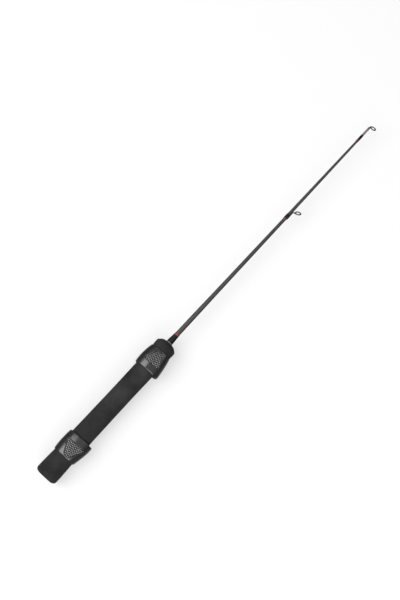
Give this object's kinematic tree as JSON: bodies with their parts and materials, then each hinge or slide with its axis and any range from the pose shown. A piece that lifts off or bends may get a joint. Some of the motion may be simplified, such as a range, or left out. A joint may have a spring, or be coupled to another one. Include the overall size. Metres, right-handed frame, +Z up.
{
  "type": "ice fishing rod",
  "caption": "Short ice fishing rod with a straight waisted foam grip, sliding hooded reel rings, tapered blank, wire line guide and ring tip top.",
  "frame": {"origin": "on the surface that the rod lies on, under the middle of its box", "axes": "+X along the rod towards its tip, +Y away from the reel side, +Z up from the surface it lies on"},
  "size_m": [0.5483, 0.032, 0.0301],
  "materials": {
    "eva_foam": "matte",
    "ring_plastic": "satin",
    "composite_blank": "satin",
    "cured_epoxy": "gloss",
    "check_metal": "satin",
    "black_thread": "gloss",
    "red_thread": "gloss",
    "guide_steel": "polished",
    "ring_insert": "gloss"
  },
  "bodies": {
    "rod": {"grip_foam": "eva_foam", "grip_bond_sleeve": "cured_epoxy", "rod_blank": "composite_blank", "winding_check": "check_metal", "butt_wrap": "black_thread", "butt_trim_band": "red_thread", "guide_wrap": "black_thread", "guide_trim_band": "red_thread", "tiptop_wrap": "black_thread", "tiptop_trim_band": "red_thread", "guide_frame": "guide_steel", "guide_ring": "ring_insert", "tiptop_tube": "guide_steel", "tiptop_frame": "guide_steel", "tiptop_ring": "ring_insert"},
    "rear_ring": {"reel_ring_rear": "ring_plastic"},
    "front_ring": {"reel_ring_front": "ring_plastic"}
  },
  "joints": [
    {"name": "rear_ring_slide", "type": "slide", "parent": "rod", "child": "rear_ring", "axis": [1, 0, 0], "range_m": [0, 0.045]},
    {"name": "front_ring_slide", "type": "slide", "parent": "rod", "child": "front_ring", "axis": [-1, 0, 0], "range_m": [0, 0.045]}
  ]
}
